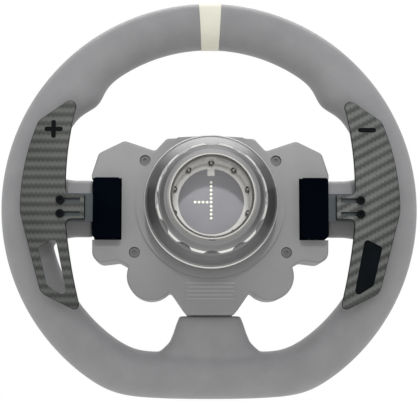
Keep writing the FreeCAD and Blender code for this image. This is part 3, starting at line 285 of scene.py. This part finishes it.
def turned_metal(name, low, high, roughness, painted_highlights=(), bright="#e4e4e1"):
    """Aluminium turned about its own axis, with fine rings that streak the light round the part.

    Each painted highlight is a pale band painted where the light catches an edge, given by its span of
    radius and of Y.
    """
    material, shader = new_surface(name, low, roughness, 1.0)
    parts = add_node(material, "SeparateXYZ", {"Vector": object_place(material)}).outputs
    square_x = math_node(material, "MULTIPLY", parts["X"], parts["X"])
    square_z = math_node(material, "MULTIPLY", parts["Z"], parts["Z"])
    radius = math_node(material, "SQRT", math_node(material, "ADD", square_x, square_z))
    ring_place = add_node(material, "CombineXYZ", {"X": radius, "Y": parts["Y"]}).outputs[0]
    # Real tool marks are about 0.1 mm apart; they are drawn 0.9 mm apart so that they show.
    rings = noise(material, ring_place, 0.9, 3, 0.7)
    base = two_tone(material, rings, low, high)
    # Painted highlights: pale bands of the bright colour laid over the metal where the light catches its
    # edges.
    for radii, depths in painted_highlights:
        in_radii, in_depths = between(material, radius, *radii), between(material, parts["Y"], *depths)
        highlight_mask = math_node(material, "MULTIPLY", in_radii, in_depths)
        inputs = {"Factor": highlight_mask, 6: base, 7: colour(bright)}
        base = add_node(material, "Mix", inputs, data_type="RGBA").outputs[2]
    join(material, base, shader, "Base Color")
    bump(material, shader, rings, 0.02, 0.35)
    return material


def blasted_metal(name, low, high, roughness=0.45, metallic=1.0):
    """Bead-blasted and anodised aluminium, or oxidised steel: a fine even sparkle."""
    material, shader = new_surface(name, low, roughness, metallic)
    place = object_place(material)
    speckle = noise(material, place, 0.7, 3, 0.7)
    join(material, two_tone(material, speckle, low, high), shader, "Base Color")
    bump(material, shader, speckle, 0.03, 0.3)
    return material


def moulded_gloss(name, low, high, roughness=0.25, **sockets):
    """Polished moulded plastic: glossy, with a faint ripple where it shrank in the mould."""
    material, shader = new_surface(name, low, roughness, **sockets)
    place = object_place(material)
    join(material, two_tone(material, noise(material, place, 9, 2), low, high), shader, "Base Color")
    bump(material, shader, noise(material, place, 5), 0.03, 0.2)
    return material


def make_materials():
    """Every finish on the wheel, by what it is."""
    return {
        "leather": microfibre_leather("grey_microfibre_leather", "#7f7f81", "#868688"),
        "mark_leather": microfibre_leather("cream_microfibre_leather", "#d3d1c0", "#dad8c9"),
        "thread": moulded_abs("waxed_polyester_thread", "#6a6a6b", "#77777a", 0.6),
        "shell": moulded_abs("grey_moulded_abs", "#7b7b7c", "#818182"),
        "label": moulded_abs("pad_printed_ink", "#8b8b8c", "#939394", 0.6),
        "face": twill_carbon("driver_face_twill_carbon", 1.6, 0, "#1c1d1f", "#44464a", "#101113"),
        "carbon_right": twill_carbon("right_paddle_twill_carbon", 2.1, 45, "#2c2e2b", "#545653", "#0b0d0e"),
        "carbon_left": twill_carbon("left_paddle_twill_carbon", 2.1, 17, "#2e302e", "#5f615f", "#0b0d0e"),
        "black_nylon": moulded_abs(
            "glass_filled_black_nylon", "#020409", "#04070d", 0.8, Specular_IOR_Level=0.0
        ),
        "infill": moulded_gloss(
            "black_polycarbonate_infill", "#05090d", "#080d12", 0.5, Specular_IOR_Level=0.05
        ),
        "anodised": blasted_metal("dark_anodised_aluminium", "#3c4042", "#484c4e"),
        "black_oxide": blasted_metal("black_oxide_steel", "#0f1011", "#17181a", 0.45),
        "plug": moulded_abs("grey_screw_plug", "#5c5c5d", "#666667", 0.6),
        "steel": blasted_metal("bright_spring_steel", "#8b8b88", "#989894", 0.25),
        # The collar's ridge and flange rim carry painted highlights in its colour.
        "collar": turned_metal("turned_dark_aluminium", "#7c7b7c", "#8f8e8f", 0.38, COLLAR_PAINTED_HIGHLIGHTS),
        "turned": turned_metal("turned_anodised_aluminium", "#bebdba", "#d2d1ce", 0.24),
        "contact_plate": moulded_abs("grey_moulded_pbt", "#99989e", "#a3a2a8", 0.45),
        "contact_pins": blasted_metal("tin_plated_pins", "#d6d5cc", "#e6e5dc", 0.35),
        "inlay": moulded_gloss("black_epoxy_inlay", "#090a0c", "#0e0f11", 0.5, Specular_IOR_Level=0.05),
        "bezel": blasted_metal("black_anodised_bezel", "#3b3d40", "#484a4e"),
        "knob": turned_metal("turned_black_knob", "#2c2d30", "#3c3d41", 0.35),
        "rubber": moulded_abs("moulded_silicone_rubber", "#1c1d1f", "#242528", 0.7),
        "lens": moulded_gloss("smoked_acrylic_lens", "#0c0d0f", "#14161a", 0.08),
        "cap": moulded_abs("satin_black_abs", "#1e1f21", "#292a2d", 0.4),
        "board": moulded_gloss("green_solder_mask", "#123d24", "#184a2c", 0.35),
        "red": moulded_gloss("red_polycarbonate", "#a31f16", "#b3261b"),
        "white": moulded_gloss("white_polycarbonate", "#d2d2ce", "#dededa"),
        "blue": moulded_gloss("blue_polycarbonate", "#1d4fa0", "#2659ad"),
        "armature": blasted_metal("cast_aluminium", "#9a9b9c", "#acadae", 0.5),
    }


def dress_frame(finish):
    """Gives each carried-over node its finish."""
    wear = {
        "rim_armature": "armature", "rim_foam": "rubber",
        "rear_cover": "shell", "front_housing": "shell", "faceplate": "face", "serial_bars": "label",
        "rear_cover_screws": "plug", "faceplate_screws": "black_oxide",
        "lens_bar": "lens", "led_board": "board", "control_board": "board", "centre_cap": "cap",
        "button_bezels": "bezel", "button_switches": "black_nylon", "encoders": "steel",
        "stick_cans": "steel", "qr_hub": "turned", "qr_collar": "collar", "qr_spring": "steel",
        "qr_balls": "steel", "qr_snap_ring": "steel", "qr_contact_plate": "contact_plate",
        "qr_contact_pins": "contact_pins", "qr_hub_screws": "black_oxide",
        "plus_sign": "inlay", "minus_sign": "inlay", "window_infill": "infill",
    }
    for side in SIDES:
        wear.update({
            f"shifter_housing_{side}": "black_nylon", f"shifter_lever_{side}": "anodised",
            f"lever_magnet_{side}": "steel", f"pivot_pin_{side}": "steel",
            f"shifter_magnet_{side}": "steel", f"shifter_switch_{side}": "black_nylon",
            f"paddle_{side}": f"carbon_{side}", f"paddle_screws_{side}": "black_oxide",
            f"knob_{side}": "knob", f"stick_gimbal_{side}": "rubber", f"thumb_stick_{side}": "rubber",
        })
        for number, shade in enumerate(("red", "white", "blue", "white"), 1):
            wear[f"button_{side}_{number}"] = shade
    for node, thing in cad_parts.items():
        if node in wear:
            for material_slot in thing.material_slots:
                material_slot.material = finish[wear[node]]


# ---------------------------------------------------------------- the grip


def centre_line(angle):
    """Distance of the grip's middle from the axis at an angle, with the wheel's flat foot."""
    drop = -math.cos(math.radians(angle))
    if drop < 0.5:
        return RIM_R
    flat = FLAT_DROP / drop
    return RIM_R * (1 + (RIM_R / flat) ** CORNER_SOFTNESS) ** (-1 / CORNER_SOFTNESS)


def on_grip(angle, around, proud=0.0):
    """A point on the grip's skin, which around passes over the back to the inner edge at 180."""
    swell = THUMB_SWELL * math.exp(-(((abs(angle) - THUMB_ANGLE) / THUMB_SPREAD) ** 2)) / 2
    turn = math.radians(around)
    reach = centre_line(angle) - swell + (GRIP_HALF_WIDE + swell + proud) * math.cos(turn)
    deep = (GRIP_HALF_DEEP + proud) * math.sin(turn)
    way = math.radians(angle)
    return Vector((reach * math.sin(way), RIM_MID + deep, reach * math.cos(way)))


def ring_on_grip(name, proud, major, minor):
    """A torus whose every point is then laid on the grip's own section."""
    bpy.ops.object.select_all(action="DESELECT")
    turned = (math.radians(90), 0, 0)
    bpy.ops.mesh.primitive_torus_add(
        major_segments=major,
        minor_segments=minor,
        major_radius=RIM_R,
        minor_radius=GRIP_HALF_WIDE,
        rotation=turned,
    )
    ring = bpy.context.object
    ring.name = name
    bpy.ops.object.transform_apply(rotation=True)
    for point in ring.data.vertices:
        angle = math.degrees(math.atan2(point.co.x, point.co.z))
        out = math.hypot(point.co.x, point.co.z) - RIM_R
        around = math.degrees(math.atan2(point.co.y, out))
        point.co = on_grip(angle, around, proud)
    return ring


def section_ring(radius_wide, radius_deep):
    """Points of a soft-cornered section, as shares across and deep."""
    points = []
    for number in range(PAD_POINTS):
        turn = math.tau * number / PAD_POINTS
        wide, deep = math.cos(turn), math.sin(turn)
        points.append((
            math.copysign(abs(wide) ** PAD_SQUARENESS, wide) * radius_wide,
            math.copysign(abs(deep) ** PAD_SQUARENESS, deep) * radius_deep,
        ))
    return points


def spoke_pad(name, outward, stations):
    """A padded spoke drawn out from a circle, one station after another, each wider than the last."""
    across = Vector((-outward.z, 0, outward.x))
    bpy.ops.object.select_all(action="DESELECT")
    bpy.ops.mesh.primitive_circle_add(vertices=PAD_POINTS, radius=GRIP_HALF_DEEP, fill_type="NGON")
    pad = bpy.context.object
    pad.name = name
    mesh = pad.data
    for number, (along, half_wide, half_deep) in enumerate(stations):
        if number:
            bpy.ops.object.mode_set(mode="EDIT")
            bpy.ops.mesh.extrude_region_move()
            bpy.ops.object.mode_set(mode="OBJECT")
        ends = [v for v in mesh.vertices if v.select]
        shape = section_ring(half_wide, half_deep)
        for point, (wide, deep) in zip(ends, shape):
            point.co = outward * along + across * wide + BACK * (RIM_MID + deep)
        if number == 0:
            bpy.ops.object.mode_set(mode="EDIT")
            bpy.ops.mesh.select_all(action="SELECT")
            bpy.ops.object.mode_set(mode="OBJECT")
    bpy.ops.object.mode_set(mode="EDIT")
    bpy.ops.mesh.select_all(action="SELECT")
    bpy.ops.mesh.normals_make_consistent(inside=False)
    bpy.ops.object.mode_set(mode="OBJECT")
    return pad


def finish_piece(piece, material, body, slot, *replaced):
    """The last things that a piece needs: its finish, body and the nodes it stands for; its slot is not
    used.
    """
    piece.data.materials.clear()
    piece.data.materials.append(material)
    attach(piece, body)
    if replaced:
        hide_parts(*replaced)
    return piece


def pick(pieces):
    """Selects just these, with the first of them active."""
    bpy.ops.object.select_all(action="DESELECT")
    for piece in pieces:
        piece.select_set(True)
    bpy.context.view_layer.objects.active = pieces[0]


def merge(pieces, name):
    """Joins meshes into one."""
    pick(pieces)
    bpy.ops.object.join()
    pieces[0].name = name
    return pieces[0]


def apply_modifier(piece, kind, **settings):
    """Adds a modifier with its settings and applies it."""
    pick([piece])
    modifier = piece.modifiers.new(kind.lower(), kind)
    for name, value in settings.items():
        setattr(modifier, name, value)
    bpy.ops.object.modifier_apply(modifier=modifier.name)


def apply_bevel(piece, width, segments):
    """Rounds a piece's sharp edges."""
    angle = math.radians(50)
    apply_modifier(piece, "BEVEL", width=width, segments=segments, limit_method="ANGLE", angle_limit=angle)


# Each pad's widths on its way out: the share of the way to the ring, and the share of its own half width.
SPOKE_FLARE = [(0.0, 1.0), (0.4, 1.0), (0.62, 1.05), (0.82, 1.2), (1.0, 1.44), (1.22, 1.75)]
FOOT_FLARE = [(0.0, 1.1), (0.25, 1.22), (0.5, 1.32), (0.75, 1.45), (0.95, 1.7), (1.1, 1.95), (1.3, 2.25)]


def pad_stations(start, end, half_wide, flare):
    """A pad's sections between two reaches from the axis, each as its reach, half width and half depth."""
    return [(start + (end - start) * share, half_wide * wide, PAD_HALF_DEEP) for share, wide in flare]


def make_grip(finish):
    """The leather skin over ring and spokes, pulled tight so that they run into each other."""
    cover_low, cover_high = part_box("rear_cover")
    inner = RIM_R - GRIP_HALF_WIDE
    foot_inner = FLAT_DROP - GRIP_HALF_WIDE
    start = cover_high[0] + PAD_GAP
    foot_start = -cover_low[2] + PAD_GAP
    pads = [ring_on_grip("ring", 0.0, 260, 72)]
    for side, sign in SIDES.items():
        stations = pad_stations(start, inner, SPOKE_HALF_HIGH, SPOKE_FLARE)
        pads.append(spoke_pad(f"pad_{side}", Vector((sign, 0, 0)), stations))
        pads[-1].location.z = -SPOKE_DOWN
        bpy.ops.object.transform_apply(location=True)
    stations = pad_stations(foot_start, foot_inner, FOOT_HALF_WIDE, FOOT_FLARE)
    pads.append(spoke_pad("pad_foot", Vector((0, 0, -1)), stations))
    grip = merge(pads, "grip_leather")
    apply_modifier(grip, "REMESH", mode="VOXEL", voxel_size=GRIP_VOXEL)
    apply_modifier(grip, "SMOOTH", factor=0.5, iterations=6)
    bpy.ops.object.shade_smooth()
    return finish_piece(grip, finish["leather"], "wheel", "grip_leather", "rim_wrap", "rim_foam")


def on_seam(angle):
    """The seam line: the inner edge of the grip, turned a little to the driver's side."""
    return on_grip(angle, SEAM_AROUND, -0.25 * MM)


def stitch_angles():
    """One angle per stitch, an even pitch apart along the open spans of the rim."""
    step = math.degrees(STITCH_PITCH / (RIM_R - GRIP_HALF_WIDE))
    angles = []
    for start, end in SEAM_SPANS:
        count = int((end - start) / step)
        angles += [start + (end - start) * (number + 0.5) / count for number in range(count)]
    return angles


def make_stitches(finish):
    """Stitches: one short bar of thread, copied along the seam and leaning to and fro across it."""
    bpy.ops.object.select_all(action="DESELECT")
    bpy.ops.mesh.primitive_cylinder_add(vertices=6, radius=THREAD_R, depth=STITCH_LONG)
    model = bpy.context.object
    apply_bevel(model, THREAD_BEVEL, 1)
    bars = []
    for number, angle in enumerate(stitch_angles()):
        place = on_seam(angle)
        along = (on_seam(angle + 0.2) - place).normalized()
        outward = (on_grip(angle, SEAM_AROUND, 1 * MM) - place).normalized()
        across = outward.cross(along).normalized()
        lean = along * (STITCH_LEAN if number % 2 else -STITCH_LEAN)
        bar = model.copy()
        bar.data = model.data.copy()
        bpy.context.collection.objects.link(bar)
        bar.location = place + outward * STITCH_PROUD
        bar.rotation_euler = (across + lean).to_track_quat("Z", "Y").to_euler()
        bars.append(bar)
    bpy.data.objects.remove(model)
    stitches = merge(bars, "grip_stitches")
    bpy.ops.object.transform_apply(location=True, rotation=True)
    bpy.ops.object.shade_smooth()
    stitches.data.materials.append(finish["thread"])
    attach(stitches, "wheel")
    return stitches


def make_centre_mark(finish):
    """The cream band let into the grip at twelve o'clock."""
    band = ring_on_grip("centre_band", MARK_PROUD, 720, 72)
    bpy.ops.object.mode_set(mode="EDIT")
    for sign in (1, -1):
        turn = math.radians(MARK_HALF_ANGLE) * sign
        normal = Vector((math.cos(turn), 0, -math.sin(turn))) * sign
        bpy.ops.mesh.select_all(action="SELECT")
        bpy.ops.mesh.bisect(plane_co=(0, 0, 0), plane_no=normal, clear_outer=True, use_fill=True)
    bpy.ops.object.mode_set(mode="OBJECT")
    bpy.ops.object.mode_set(mode="EDIT")
    bpy.ops.mesh.select_all(action="DESELECT")
    bpy.ops.object.mode_set(mode="OBJECT")
    for point in band.data.vertices:
        point.select = point.co.z < 0
    bpy.ops.object.mode_set(mode="EDIT")
    bpy.ops.mesh.delete(type="VERT")
    bpy.ops.mesh.select_all(action="SELECT")
    bpy.ops.mesh.normals_make_consistent(inside=False)
    bpy.ops.object.mode_set(mode="OBJECT")
    apply_bevel(band, MARK_PROUD, 2)
    bpy.ops.object.shade_smooth_by_angle(angle=math.radians(40))
    return finish_piece(band, finish["mark_leather"], "wheel", "mark_leather", "centre_mark")


def main():
    add_camera()
    add_studio()
    finish = make_materials()
    dress_frame(finish)
    make_grip(finish)
    make_centre_mark(finish)
    make_stitches(finish)


main()
